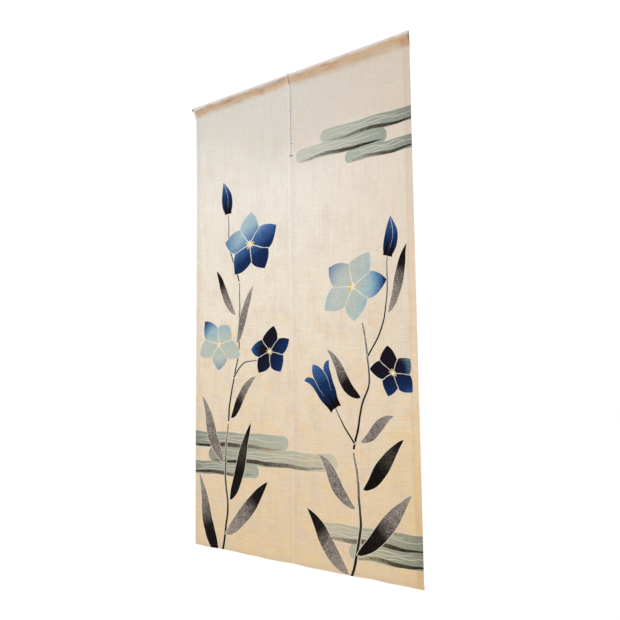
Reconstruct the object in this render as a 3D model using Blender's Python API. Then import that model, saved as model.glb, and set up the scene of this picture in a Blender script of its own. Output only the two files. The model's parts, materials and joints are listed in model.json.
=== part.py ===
"""Noren curtain on its rod: two hemmed cloth panels, each with a sewn pocket that a round rod fills.

Units are metres and +Z is up. The curtain's front faces -Y. The origin is on the rod's axis, in the
middle of the curtain's width. Depth, below, is the distance down from the top of the heading.
"""

import math
from collections import namedtuple

import bmesh
import bpy

# Rod
ROD_RADIUS = 0.005
ROD_LEFT_END = -0.447
ROD_RIGHT_END = 0.418
ROD_SIDES = 24
ROD_CHAMFER = 0.001

# Cloth
PANEL_WIDTH = 0.44
DROP = 1.50
LAYER = 0.001
ROD_CLEARANCE = 0.0003
SEAM_GAP = 0.0004
OUTER_HEM = 0.020
INNER_HEM = 0.014
BOTTOM_HEM = 0.012
HEM_STEP = 0.0005

# Front of the hanging cloth behind the rod's axis: in the middle, its slant from left to right, its bow
PLANE_MIDDLE = 0.0035
PLANE_SLANT = -0.00375
PLANE_BOW = 0.00125

# Heading: a loose pocket that hangs over the rod and narrows down to a seam at its foot
POCKET_OUTER = ROD_RADIUS + ROD_CLEARANCE + LAYER
POCKET_CROTCH = 0.042
HEADING_END = 0.045
LEG_CURVE = 1.3
POCKET_WAVER = 0.0006
POCKET_WAVES = 2.3
POCKET_WAVE_START = 0.2
LOOP_STEPS = 12
FRONT_LEG_DEPTHS = (0.040, 0.0365, 0.0325, 0.028, 0.023, 0.018, 0.013, 0.009)
BACK_LEG_DEPTHS = (0.011, 0.018, 0.026, 0.034)

# Past the rod's right end the pocket is pressed nearly flat
END_START = 0.419
END_HALF_WIDTH = 0.0030
END_FORWARD = 0.0028
END_BELLY = 0.0030
END_RUNS = (0.4265, 0.4335)

# Middle seam: its place right of the middle, and the depth it is sewn down to. Below is a slit whose
# edges hang a little apart in depth.
SEAM_X = 0.003
SEAM_DEPTH = 0.267
SLIT_HALF_GAP = 0.0004
SLIT_OPEN_SHARE = 0.6
SLIT_LIFT = {-1: 0.0014, 1: -0.0012}
SLIT_LIFT_REACH = 0.09

# How far each outer edge stands in from the panel's full width, down the drop
EdgeInset = namedtuple("EdgeInset", "depth left right")
EDGE_INSETS = (
    EdgeInset(depth=0.00, left=0.0000, right=0.0000),
    EdgeInset(depth=0.30, left=0.0030, right=0.0008),
    EdgeInset(depth=0.75, left=0.0016, right=0.0000),
    EdgeInset(depth=1.20, left=-0.0006, right=-0.0004),
    EdgeInset(depth=1.50, left=-0.0012, right=0.0000),
)

# Shallow waves of the hanging cloth: how many cross a panel, where they start, how they drift with depth
Wave = namedtuple("Wave", "count start drift height grown_at")
WAVES = {
    -1: (
        Wave(count=1.4, start=0.10, drift=0.30, height=0.0030, grown_at=0.90),
        Wave(count=2.9, start=0.55, drift=-0.25, height=0.0016, grown_at=1.30),
        Wave(count=5.2, start=0.20, drift=0.15, height=0.0007, grown_at=1.50),
    ),
    1: (
        Wave(count=1.2, start=0.62, drift=-0.22, height=0.0028, grown_at=0.95),
        Wave(count=3.1, start=0.05, drift=0.28, height=0.0017, grown_at=1.30),
        Wave(count=4.8, start=0.40, drift=-0.18, height=0.0007, grown_at=1.50),
    ),
}
EDGE_CALM = 0.05
EDGE_SHARE = 0.35

BODY_COLUMNS = 11
BODY_ROWS = 24

# Edges sharper than these, in degrees, are not shaded smooth
CLOTH_SHARP = 50
ROD_SHARP = 40


def clear_scene():
    for item in list(bpy.data.objects):
        bpy.data.objects.remove(item, do_unlink=True)


def material(name, color, roughness):
    made = bpy.data.materials.new(name)
    made.use_nodes = True
    surface = made.node_tree.nodes["Principled BSDF"]
    surface.inputs["Base Color"].default_value = (*color, 1.0)
    surface.inputs["Roughness"].default_value = roughness
    surface.inputs["Metallic"].default_value = 0.0
    return made


def ease(share):
    """0 to 1, level at both ends."""
    share = min(max(share, 0.0), 1.0)
    return share * share * (3.0 - 2.0 * share)


def add_object(name, bm, made_of, sharp_angle):
    bmesh.ops.recalc_face_normals(bm, faces=bm.faces)
    mesh = bpy.data.meshes.new(name)
    bm.to_mesh(mesh)
    bm.free()
    mesh.materials.append(made_of)
    mesh.shade_smooth()
    mesh.set_sharp_from_angle(angle=math.radians(sharp_angle))
    item = bpy.data.objects.new(name, mesh)
    bpy.context.scene.collection.objects.link(item)
    return item


def outer_inset(side, depth):
    """How far the outer edge stands in at this depth, eased between the rows of the table."""
    last = EDGE_INSETS[-1]
    for upper, lower in zip(EDGE_INSETS, EDGE_INSETS[1:]):
        if depth <= lower.depth:
            share = ease((depth - upper.depth) / (lower.depth - upper.depth))
            if side < 0:
                return upper.left + (lower.left - upper.left) * share
            return upper.right + (lower.right - upper.right) * share
    return last.left if side < 0 else last.right


def slit_share(depth):
    """0 down the sewn part of the middle seam, growing to 1 down the slit."""
    return ease((depth - SEAM_DEPTH) / (SLIT_OPEN_SHARE * (DROP - SEAM_DEPTH)))


def across(side, run, depth):
    """World X of the point that lies run metres from a panel's inner edge.

    The left panel is drawn wider and the right one narrower by the seam's shift.
    """
    inner = SEAM_GAP / 2 + SLIT_HALF_GAP * slit_share(depth)
    outer = PANEL_WIDTH - outer_inset(side, depth)
    return side * (inner + (outer - inner) * run / PANEL_WIDTH) + SEAM_X * (1 - run / PANEL_WIDTH)


def sway(side, run, depth):
    """How far the hanging cloth stands behind its own plane."""
    offset = 0.0
    for wave in WAVES[side]:
        grown = ease((depth - HEADING_END) / wave.grown_at)
        turns = wave.count * run / PANEL_WIDTH + wave.start + wave.drift * depth / DROP
        offset += wave.height * grown * math.sin(2 * math.pi * turns)
    near_edge = min(run, PANEL_WIDTH - run) / EDGE_CALM
    offset *= EDGE_SHARE + (1 - EDGE_SHARE) * ease(near_edge)
    lift = SLIT_LIFT[side] * slit_share(depth) * (1 - ease(run / SLIT_LIFT_REACH))
    return offset + lift


def panel_front(side, run):
    """Y of the hanging cloth's front: it hangs a little askew of the rod."""
    share = side * run / PANEL_WIDTH
    return PLANE_MIDDLE + PLANE_SLANT * share + PLANE_BOW * share**2


def end_share(side, run):
    """0 over the rod, growing to 1 at the pocket's end past the rod's right end."""
    return ease((side * run - END_START) / (PANEL_WIDTH - END_START))


def loop_middle(side, run):
    """Y that the top of the pocket is centred on."""
    return (panel_front(side, run) - END_FORWARD) * end_share(side, run)


def loop_half_width(side, run):
    return POCKET_OUTER + (END_HALF_WIDTH - POCKET_OUTER) * end_share(side, run)


def leg_climb(depth):
    """0 at the foot of the pocket, 1 at the height of the rod's axis."""
    climb = (POCKET_CROTCH - depth) / (POCKET_CROTCH - POCKET_OUTER)
    return min(max(climb, 0.0), 1.0)


def pocket_front(side, run, depth):
    """Y of the outer face of the pocket's front, from the seam at its foot up to the rod."""
    start = panel_front(side, run)
    end = loop_middle(side, run) - loop_half_width(side, run)
    climb = leg_climb(depth)
    turns = POCKET_WAVES * side * run / PANEL_WIDTH + POCKET_WAVE_START
    belly = POCKET_WAVER * math.sin(2 * math.pi * turns) + END_BELLY * end_share(side, run)
    reach = (end - start) * (1 - (1 - climb) ** LEG_CURVE)
    return start + reach - belly * math.sin(math.pi * climb)


def pocket_back(side, run, depth):
    """Y of the outer face of the pocket's back."""
    start = panel_front(side, run) + 2 * LAYER
    end = loop_middle(side, run) + loop_half_width(side, run)
    return start + (end - start) * (1 - (1 - leg_climb(depth)) ** LEG_CURVE)


def one_layer_in(face, side, run, depth, inward):
    """The inner face's point (y, depth) one layer in from a leg's outer face at this depth."""
    step = LAYER / 5
    slope = (face(side, run, depth + step) - face(side, run, depth - step)) / (2 * step)
    length = math.hypot(1.0, slope)
    y = face(side, run, depth) + inward * LAYER / length
    return y, depth - inward * LAYER * slope / length


def pocket_pairs(side, run):
    """The pocket's layer as pairs of outer and inner points (y, depth), front seam over the rod to back."""
    foot = panel_front(side, run)
    crotch = (foot + LAYER, POCKET_CROTCH)
    pairs = [((foot, POCKET_CROTCH), crotch)]
    for depth in FRONT_LEG_DEPTHS:
        outer = (pocket_front(side, run, depth), depth)
        pairs.append((outer, one_layer_in(pocket_front, side, run, depth, 1)))
    middle = loop_middle(side, run)
    half_width = loop_half_width(side, run)
    for step in range(LOOP_STEPS + 1):
        angle = math.pi * (1 - step / LOOP_STEPS)
        points = []
        for inset in (0.0, LAYER):
            y = middle + (half_width - inset) * math.cos(angle)
            points.append((y, POCKET_OUTER - (POCKET_OUTER - inset) * math.sin(angle)))
        pairs.append(tuple(points))
    for depth in BACK_LEG_DEPTHS:
        outer = (pocket_back(side, run, depth), depth)
        pairs.append((outer, one_layer_in(pocket_back, side, run, depth, -1)))
    pairs.append(((foot + 2 * LAYER, POCKET_CROTCH), crotch))
    return pairs


def row_depths():
    """Depths of the panel's rows from the bottom edge up to the end of the heading."""
    hem_top = DROP - BOTTOM_HEM
    top = HEADING_END + HEM_STEP
    rows = [DROP, hem_top, hem_top - HEM_STEP]
    for row in range(1, BODY_ROWS):
        rows.append(hem_top - HEM_STEP + (top - hem_top + HEM_STEP) * row / BODY_ROWS)
    rows.append(top)
    rows.append(HEADING_END)
    return rows


def column_runs():
    """Distances of a panel's columns from its inner edge."""
    first = INNER_HEM + HEM_STEP
    last = PANEL_WIDTH - OUTER_HEM - HEM_STEP
    body = [first + (last - first) * column / BODY_COLUMNS for column in range(BODY_COLUMNS + 1)]
    return [0.0, INNER_HEM] + body + [PANEL_WIDTH - OUTER_HEM, *END_RUNS, PANEL_WIDTH]


def layers_at(run, depth):
    """Cloth layers at a point below the heading: two in a hem, one elsewhere."""
    tiny = HEM_STEP / 10
    in_side_hem = run < INNER_HEM + tiny or run > PANEL_WIDTH - OUTER_HEM - tiny
    in_bottom_hem = depth > DROP - BOTTOM_HEM - tiny
    in_heading = depth < HEADING_END + tiny
    return 2 if in_side_hem or in_bottom_hem or in_heading else 1


def panel_column(bm, side, run):
    """The vertices of one column: its outline, the pocket's inside and the cap's front and back rows."""

    def vertex(y, depth):
        return bm.verts.new((across(side, run, depth), y, POCKET_OUTER - depth))

    front = []
    back = []
    for depth in row_depths():
        y = panel_front(side, run) + sway(side, run, depth)
        front.append(vertex(y, depth))
        back.append(vertex(y + LAYER * layers_at(run, depth), depth))
    pairs = pocket_pairs(side, run)
    outer = [vertex(*pair[0]) for pair in pairs]
    crotch = vertex(*pairs[0][1])
    inner = [crotch] + [vertex(*pair[1]) for pair in pairs[1:-1]]
    return {"front": front, "back": back, "outer": outer, "inner": inner}


def bridge(bm, first, second):
    """Quads between two closed rings of as many vertices."""
    count = len(first)
    for index in range(count):
        after = (index + 1) % count
        bm.faces.new((first[index], first[after], second[after], second[index]))


def cap(bm, column):
    """Closes a panel's side edge, leaving the pocket's end open."""
    front = column["front"]
    back = column["back"]
    outer = column["outer"]
    inner = column["inner"] + [column["inner"][0]]
    for row in range(len(front) - 1):
        bm.faces.new((front[row], front[row + 1], back[row + 1], back[row]))
    crotch = inner[0]
    bm.faces.new((front[-1], outer[0], crotch))
    bm.faces.new((front[-1], crotch, back[-1]))
    bm.faces.new((back[-1], crotch, outer[-1]))
    last = len(outer) - 1
    bm.faces.new((outer[0], outer[1], inner[1], crotch))
    for index in range(1, last - 1):
        bm.faces.new((outer[index], outer[index + 1], inner[index + 1], inner[index]))
    bm.faces.new((outer[last - 1], outer[last], crotch, inner[last - 1]))


def panel(name, side, made_of):
    bm = bmesh.new()
    columns = [panel_column(bm, side, run) for run in column_runs()]
    for near, far in zip(columns, columns[1:]):
        outlines = [c["front"] + c["outer"] + c["back"][::-1] for c in (near, far)]
        bridge(bm, *outlines)
        bridge(bm, near["inner"], far["inner"])
    cap(bm, columns[0])
    cap(bm, columns[-1])
    return add_object(name, bm, made_of, CLOTH_SHARP)


def rod(name, made_of):
    bm = bmesh.new()
    length = ROD_RIGHT_END - ROD_LEFT_END
    bmesh.ops.create_cone(
        bm, cap_ends=True, segments=ROD_SIDES, radius1=ROD_RADIUS, radius2=ROD_RADIUS, depth=length
    )
    rims = [edge for edge in bm.edges if any(len(face.verts) > 4 for face in edge.link_faces)]
    bmesh.ops.bevel(bm, geom=rims, offset=ROD_CHAMFER, segments=2, profile=0.5, affect="EDGES")
    item = add_object(name, bm, made_of, ROD_SHARP)
    item.location = ((ROD_LEFT_END + ROD_RIGHT_END) / 2, 0.0, 0.0)
    item.rotation_euler = (0.0, math.radians(90), 0.0)
    return item


def main():
    clear_scene()
    linen = material("undyed_linen", (0.80, 0.70, 0.55), 0.9)
    dark_wood = material("dark_rod", (0.045, 0.032, 0.027), 0.5)
    rod("rod", dark_wood)
    panel("panel_left", -1, linen)
    panel("panel_right", 1, linen)


main()
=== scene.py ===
"""Noren curtain on its rod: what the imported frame's two cloth panels and rod look like.

Units are metres, +Z is up, the curtain's front faces -Y and the origin is on the rod's axis. Depth is
the distance down from the top of the heading, and run is the distance from a panel's inner edge.
Each panel is one sheet of woven cloth, laid out flat first and then folded onto its solid's shape: side
hems, bottom hem and rod pocket are parts of the same sheet. On the flat sheet a point lies a from the
panel's inner edge and b down from the top of the heading.
"""

import json
from collections import namedtuple
from math import ceil, copysign, cos, pi, sin

import bpy
import numpy as np
from mathutils import Matrix, Vector
from mathutils.geometry import delaunay_2d_cdt

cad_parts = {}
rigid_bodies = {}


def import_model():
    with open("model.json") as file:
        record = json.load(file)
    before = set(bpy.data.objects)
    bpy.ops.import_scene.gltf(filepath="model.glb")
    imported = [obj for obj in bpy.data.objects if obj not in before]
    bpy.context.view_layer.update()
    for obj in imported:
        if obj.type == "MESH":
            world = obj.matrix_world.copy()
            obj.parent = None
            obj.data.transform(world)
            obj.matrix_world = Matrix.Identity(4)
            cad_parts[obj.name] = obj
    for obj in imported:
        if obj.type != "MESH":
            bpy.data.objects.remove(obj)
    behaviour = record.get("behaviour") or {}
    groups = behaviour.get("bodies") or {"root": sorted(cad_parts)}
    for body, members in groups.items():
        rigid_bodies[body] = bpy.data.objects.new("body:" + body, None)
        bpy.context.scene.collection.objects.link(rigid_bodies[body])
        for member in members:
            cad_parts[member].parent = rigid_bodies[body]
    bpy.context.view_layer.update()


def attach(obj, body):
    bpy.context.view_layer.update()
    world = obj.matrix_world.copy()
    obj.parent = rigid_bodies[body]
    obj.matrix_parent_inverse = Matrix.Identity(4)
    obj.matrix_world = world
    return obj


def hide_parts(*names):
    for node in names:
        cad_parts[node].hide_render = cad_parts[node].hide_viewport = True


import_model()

LEFT, RIGHT = -1, 1
SIDE_NAMES = {LEFT: "left", RIGHT: "right"}

# The solids' shape
PANEL_WIDTH = 0.44
DROP = 1.50
SEWN_GAP = 0.00004
SLIT_GAP = 0.0004
OUTER_HEM = 0.020
INNER_HEM = 0.014
BOTTOM_HEM = 0.012
PLANE_MIDDLE = 0.0035
PLANE_SLANT = -0.00375
PLANE_BOW = 0.00125
ROD_AXIS_DEPTH = 0.0063
POCKET_CROTCH = 0.042
HEADING_END = 0.045
LEG_CURVE = 1.3
POCKET_WAVER = 0.0006
POCKET_WAVES = 2.3
POCKET_WAVE_START = 0.2
END_START = 0.419
END_FORWARD = 0.0028
END_BELLY = 0.0030
SEAM_X = 0.003
SEAM_DEPTH = 0.267
SLIT_LOOSENS = 0.03
SLIT_HALF_GAP = 0.0004
SLIT_OPEN_SHARE = 0.6
SLIT_LIFT = {LEFT: 0.0014, RIGHT: -0.0012}
SLIT_LIFT_REACH = 0.09
INSET_DEPTHS = (0.00, 0.30, 0.75, 1.20, 1.50)
EDGE_INSETS = {
    LEFT: (0.0000, 0.0030, 0.0016, -0.0006, -0.0012),
    RIGHT: (0.0000, 0.0008, 0.0000, -0.0004, 0.0000),
}
Wave = namedtuple("Wave", "count start drift height grown_at")
WAVES = {
    LEFT: (
        Wave(1.4, 0.10, 0.30, 0.0030, 0.90),
        Wave(2.9, 0.55, -0.25, 0.0016, 1.30),
        Wave(5.2, 0.20, 0.15, 0.0007, 1.50),
    ),
    RIGHT: (
        Wave(1.2, 0.62, -0.22, 0.0028, 0.95),
        Wave(3.1, 0.05, 0.28, 0.0017, 1.30),
        Wave(4.8, 0.40, -0.18, 0.0007, 1.50),
    ),
}
EDGE_CALM = 0.05
EDGE_SHARE = 0.35

# The sheet: its thickness, how far its middle lies behind the solid's front, and the bend of its folds
SHEET = 0.0007
SHEET_BEHIND = 0.0005
BEND = 0.000425
LAYER_STEP = 2 * BEND
LOOP_RADIUS = 0.00565
END_HALF_WIDTH = 0.0025
HEM_BLEND = 0.006
POCKET_LENGTH = 0.0965
NORMAL_STEP = 0.00004

# Points along the pocket's front, over the rod and down its back, which is drawn a little too long
FRONT_POINTS, LOOP_POINTS, BACK_POINTS = 26, 41, 21
BACK_REACH = 0.006

FLAT_WIDTH = PANEL_WIDTH + (pi - 2) * BEND
CUT_LEFT, CUT_RIGHT = -INNER_HEM, FLAT_WIDTH + OUTER_HEM
CUT_TOP, CUT_BOTTOM = HEADING_END - POCKET_LENGTH, DROP + BOTTOM_HEM


def ease(share):
    share = np.clip(share, 0.0, 1.0)
    return share * share * (3.0 - 2.0 * share)


def outer_inset(side, depth):
    """How far a panel's outer edge is drawn in."""
    insets = EDGE_INSETS[side]
    value = np.full(np.shape(depth), insets[0], float)
    for upper, lower, before, after in zip(INSET_DEPTHS, INSET_DEPTHS[1:], insets, insets[1:]):
        value = value + (after - before) * ease((depth - upper) / (lower - upper))
    return value


def slit_share(depth):
    return ease((depth - SEAM_DEPTH) / (SLIT_OPEN_SHARE * (DROP - SEAM_DEPTH)))


def across(side, run, depth):
    """World X of the sheet's middle, its folded edges just reaching the panel's edges."""
    run = SHEET / 2 + run * (PANEL_WIDTH - SHEET) / PANEL_WIDTH
    loose = ease((depth - SEAM_DEPTH) / SLIT_LOOSENS)
    inner = (SEWN_GAP + (SLIT_GAP - SEWN_GAP) * loose) / 2 + SLIT_HALF_GAP * slit_share(depth)
    outer = PANEL_WIDTH - outer_inset(side, depth)
    return side * (inner + (outer - inner) * run / PANEL_WIDTH) + SEAM_X * (1 - run / PANEL_WIDTH)


def sway(side, run, depth):
    """How far the hanging cloth stands behind its own plane."""
    offset = 0.0
    for wave in WAVES[side]:
        grown_share = ease((depth - HEADING_END) / wave.grown_at)
        turns = wave.count * run / PANEL_WIDTH + wave.start + wave.drift * depth / DROP
        offset = offset + wave.height * grown_share * np.sin(2 * pi * turns)
    near_edge = np.minimum(run, PANEL_WIDTH - run) / EDGE_CALM
    offset = offset * (EDGE_SHARE + (1 - EDGE_SHARE) * ease(near_edge))
    return offset + SLIT_LIFT[side] * slit_share(depth) * (1 - ease(run / SLIT_LIFT_REACH))


def panel_front(side, run):
    """Y of the hanging cloth's front: it hangs a little askew of the rod."""
    share = side * run / PANEL_WIDTH
    return PLANE_MIDDLE + PLANE_SLANT * share + PLANE_BOW * share**2


def hem_share(run):
    """1 over the side hems, where the sheet is double, and 0 between them."""
    return 1 - ease(np.minimum(run - INNER_HEM, PANEL_WIDTH - OUTER_HEM - run) / HEM_BLEND)


def turned(distance, radius):
    """Angle past a fold's outermost line and straight length beyond the bend."""
    angle = np.clip(distance / radius, -pi / 2, pi / 2)
    return angle, np.maximum(np.abs(distance) - radius * pi / 2, 0.0)


def fold_sides(a):
    """Run and set-back of points across the flat sheet, its side allowances folded to the back."""
    near, near_rest = turned(a, BEND)
    far, far_rest = turned(FLAT_WIDTH - a, BEND)
    inner = a < FLAT_WIDTH / 2
    near_run = BEND * (1 - np.cos(near)) + near_rest
    far_run = PANEL_WIDTH - BEND * (1 - np.cos(far)) - far_rest
    back = BEND * (1 - np.sin(np.where(inner, near, far)))
    return np.where(inner, near_run, far_run), back


def pocket_path(side, run):
    """Points (y, depth) of the pocket's layer for each run, up its front, over the rod and down its back.

    Past the rod's right end the pocket is pressed nearly flat.
    """
    run = run[:, None]
    lifted = hem_share(run)
    flat = ease((side * run - END_START) / (PANEL_WIDTH - END_START))
    front_face = panel_front(side, run)
    middle = (front_face - END_FORWARD) * flat
    half_width = LOOP_RADIUS + (END_HALF_WIDTH - LOOP_RADIUS) * flat + LAYER_STEP * lifted
    half_height = LOOP_RADIUS + LAYER_STEP * lifted
    turns = POCKET_WAVES * side * run / PANEL_WIDTH + POCKET_WAVE_START
    belly = POCKET_WAVER * np.sin(2 * pi * turns) + END_BELLY * flat

    def leg(start, end, depth):
        climb = np.clip((POCKET_CROTCH - depth) / (POCKET_CROTCH - ROD_AXIS_DEPTH), 0, 1)
        return start + (end - start) * (1 - (1 - climb) ** LEG_CURVE), climb

    depth = np.linspace(HEADING_END, ROD_AXIS_DEPTH, FRONT_POINTS)[None, :]
    front, climb = leg(front_face + SHEET_BEHIND, middle - half_width, depth)
    front = front - belly * np.sin(pi * climb)
    angle = np.linspace(0, pi, LOOP_POINTS)[None, 1:]
    loop_y = middle - half_width * np.cos(angle)
    loop_depth = ROD_AXIS_DEPTH - half_height * np.sin(angle)
    back_depth = np.linspace(ROD_AXIS_DEPTH, HEADING_END + BACK_REACH, BACK_POINTS)[None, 1:]
    back_face = front_face + SHEET_BEHIND + LAYER_STEP * (1 + 2 * lifted)
    back, _ = leg(back_face, middle + half_width, back_depth)
    wide = np.ones_like(run)
    y = np.concatenate([front, loop_y, back], axis=1)
    z = np.concatenate([wide * depth, loop_depth, wide * back_depth], axis=1)
    return np.stack([y, z], axis=2)


def on_pocket(side, run, behind, climb):
    """(y, depth) of points that lie climb metres up the pocket's path from the end of the heading."""
    path = pocket_path(side, run)
    steps = np.diff(path, axis=1)
    lengths = np.linalg.norm(steps, axis=2)
    reached = np.cumsum(lengths, axis=1)
    last = lengths.shape[1] - 1
    index = np.minimum((reached < climb[:, None]).sum(axis=1), last)
    row = np.arange(len(run))
    share = ((climb - reached[row, index]) / lengths[row, index] + 1)[:, None]
    tangent = steps / lengths[:, :, None]
    before, here, after = (tangent[row, np.clip(index + k, 0, last)] for k in (-1, 0, 1))
    early = before * (0.5 - share) + here * (0.5 + share)
    late = here * (1.5 - share) + after * (share - 0.5)
    turn = np.where(share < 0.5, early, late)
    point = path[row, index] + steps[row, index] * share
    return point[:, 0] - turn[:, 1] * behind, point[:, 1] + turn[:, 0] * behind


def fold_cloth(side, a, b):
    """World places of the middle of the sheet at flat points."""
    a, b = np.broadcast_arrays(np.asarray(a, float), np.asarray(b, float))
    run, behind = fold_sides(a)
    bend = BEND + LAYER_STEP * hem_share(run)
    edge = DROP - SHEET / 2 + (pi / 2 - 1) * bend
    angle, rest = turned(edge - b, bend)
    bottom = DROP - SHEET / 2 - bend
    low_depth = np.where(rest > 0, bottom - rest, bottom + (bend - behind) * np.cos(angle))
    low_y = bend - (bend - behind) * np.sin(angle)
    below = b > edge - bend * pi / 2
    depth = np.where(below, low_depth, b)
    y = panel_front(side, run) + SHEET_BEHIND + sway(side, run, depth) + np.where(below, low_y, behind)
    high = b < HEADING_END
    if high.any():
        y, depth = y.copy(), depth.copy()
        y[high], depth[high] = on_pocket(side, run[high], behind[high], HEADING_END - b[high])
    return np.stack([across(side, run, depth), y, ROD_AXIS_DEPTH - depth], axis=-1)


def unit(vectors):
    return vectors / (np.linalg.norm(vectors, axis=-1, keepdims=True) + 1e-12)


def outward(side, a, b):
    """Unit normals of the sheet's outer side, the one that shows in front."""
    along_a = fold_cloth(side, a + NORMAL_STEP, b) - fold_cloth(side, a - NORMAL_STEP, b)
    along_b = fold_cloth(side, a, b + NORMAL_STEP) - fold_cloth(side, a, b - NORMAL_STEP)
    return unit(np.cross(along_a, along_b) * -side / NORMAL_STEP**2)


# Dyes, as the eye sees them
NIGHT = (0.070, 0.045, 0.115)
NAVY = (0.045, 0.085, 0.200)
INDIGO = (0.065, 0.185, 0.375)
BLUE = (0.170, 0.400, 0.650)
AQUA = (0.600, 0.745, 0.800)
INK = (0.040, 0.012, 0.015)
ASH = (0.500, 0.460, 0.437)
SMOKE = (0.560, 0.530, 0.510)
FOAM = (0.735, 0.778, 0.752)
CELADON = (0.600, 0.665, 0.620)
MOSS = (0.400, 0.460, 0.430)
GOLD = (0.860, 0.780, 0.380)
PALE = (0.935, 0.915, 0.865)

# What the dye does along a shape: stops of a place from 0 to 1, a dye and a strength
DEEP = ((0, NIGHT, 1.0), (0.38, NIGHT, 1.0), (0.55, NAVY, 1.0), (0.82, INDIGO, 1.0), (1, BLUE, 0.95))
HALF = ((0, AQUA, 0.55), (0.30, AQUA, 0.85), (0.48, BLUE, 0.95), (0.66, INDIGO, 1.0), (1, NAVY, 1.0))
LIGHT = ((0, AQUA, 0.95), (0.20, AQUA, 0.92), (0.42, FOAM, 0.90), (0.80, FOAM, 0.80), (1, AQUA, 0.92))
NAVY_TIP = ((0.55, BLUE, 0.0), (0.78, BLUE, 0.75), (0.92, INDIGO, 0.95), (1, NAVY, 1.0))
BLUE_TIP = ((0.45, BLUE, 0.0), (0.95, BLUE, 0.80))
PALE_TIP = ((0.50, AQUA, 0.0), (0.95, AQUA, 0.70))
CUP = ((0, NAVY, 1.0), (0.5, INDIGO, 1.0), (1, BLUE, 0.95))
STEM = ((0, INK, 1.0), (0.5, INK, 0.95), (1, SMOKE, 0.95))
BLACK = ((0, INK, 1.0), (0.40, INK, 1.0), (0.66, INK, 0.93), (0.86, INK, 0.99), (1, INK, 1.0))
GREY = ((0, SMOKE, 0.88), (0.35, ASH, 0.97), (0.70, SMOKE, 0.95), (1, SMOKE, 0.80))
FOOT_BLACK = ((0, INK, 1.0), (0.38, INK, 0.99), (0.60, ASH, 0.96), (1, SMOKE, 0.84))
TIP_BLACK = ((0, SMOKE, 0.80), (0.48, ASH, 0.96), (0.68, INK, 0.99), (1, INK, 1.0))
MIST = ((0, CELADON, 0.34), (0.45, CELADON, 0.68), (1, MOSS, 0.80))
MIST_FOOT = ((0, INK, 0.4), (0.5, INK, 0.85), (1, INK, 1.0))

MM = 0.001
MARGIN = 1.6 * MM
THINNEST = 0.02 * MM
SEPAL_TIP = 0.4 * MM
LONGEST_SIDE = 12 * MM
SHARPEST_CORNER = 0.55

Shape = namedtuple("Shape", "outline paint grain")


def scaled(millimetres):
    return np.asarray(millimetres, float) * MM


def linear(color):
    color = np.asarray(color, float)
    return np.where(color <= 0.04045, color / 12.92, ((color + 0.055) / 1.055) ** 2.4)


def pairs(x, y):
    return np.stack([x, y], axis=1)


def following(outline):
    return np.roll(outline, -1, axis=0)


def curve(knots, count):
    """Points along a smooth open line through the knots."""
    p = np.asarray(knots, float)
    p = np.vstack([2 * p[0] - p[1], p, 2 * p[-1] - p[-2]])
    t = np.arange(count)[:, None] / count
    points = []
    for a, b, c, d in zip(p, p[1:], p[2:], p[3:]):
        bow, twist = a - 2.5 * b + 2 * c - d / 2, 1.5 * (b - c) + (d - a) / 2
        points.append(b + (c - a) * t / 2 + bow * t**2 + twist * t**3)
    return np.vstack(points + [p[-2:-1]])


def sideways(line):
    step = unit(np.gradient(line, axis=0))
    return pairs(-step[:, 1], step[:, 0])


def stroke(line, widths):
    """Closed outline of a line that has a width at each of its points."""
    reach = sideways(line) * np.asarray(widths)[:, None] / 2
    return np.vstack([line + reach, (line - reach)[::-1]])


def wash(measure, stops):
    """Paint that changes with measure, from 0 to 1."""
    places = [place for place, _, _ in stops]
    values = np.array([[*linear(dye), strength] for _, dye, strength in stops])

    def paint(points):
        share = np.clip(measure(points), 0, 1)
        return np.stack([np.interp(share, places, column) for column in values.T], axis=1)

    return paint


def along(start, end, stops):
    start, way = np.asarray(start, float), np.asarray(end, float) - np.asarray(start, float)
    return wash(lambda points: (points - start) @ way / np.dot(way, way), stops)


def around(center, reach, stops):
    return wash(lambda points: np.linalg.norm(points - center, axis=1) / reach, stops)


def layered(under, over):
    """The second paint laid on the first."""

    def paint(points):
        below, above = under(points), over(points)
        share = above[:, 3:]
        return below * (1 - share) + np.hstack([above[:, :3], np.ones_like(share)]) * share

    return paint


def plain(dye, strength):
    return along((0, 0), (1, 0), ((0, dye, strength), (1, dye, strength)))


def bare(outline):
    return Shape(outline, plain(PALE, 0.42), 0.0)


def halo(outline):
    """The bare margin round a dyed shape."""
    sides = following(outline) - outline
    turn = copysign(1, np.sum(outline[:, 0] * sides[:, 1] - sides[:, 0] * outline[:, 1]))
    normal = unit(pairs(sides[:, 1], -sides[:, 0]))
    corner = unit(normal + np.roll(normal, 1, axis=0))
    flare = np.maximum(np.sum(corner * normal, axis=1), SHARPEST_CORNER)[:, None]
    return bare(outline + corner / flare * MARGIN * turn)


def blade(pull, width, stops):
    """A leaf that swings from its foot to its tip."""
    p, width = scaled(pull), width * MM
    share = np.linspace(0, 1, 22)
    t = share[:, None]
    line = (1 - t) ** 3 * p[0] + 3 * t * (1 - t) ** 2 * p[1] + 3 * t**2 * (1 - t) * p[2] + t**3 * p[3]
    swell = np.sin(np.pi * share**0.85) ** 0.8
    lean = 0.10 * np.sin(2 * pi * share + 60 * width)
    left, right = (sideways(line) * (width / 2 * swell * k)[:, None] for k in (1 + lean, lean - 1))
    whole = np.vstack([line + left, (line + right)[::-1][1:]])
    return [halo(whole), Shape(whole, along(line[0], line[-1], stops), 1.0)]


def stem(knots, thick, thin):
    line = curve(scaled(knots), 8)
    outline = stroke(line, np.linspace(thick * MM, thin * MM, len(line)))
    return [halo(outline), Shape(outline, along(line[0], line[-1], STEM), 1.0)]


def ray(angle):
    return np.array([cos(angle), sin(angle)])


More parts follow.
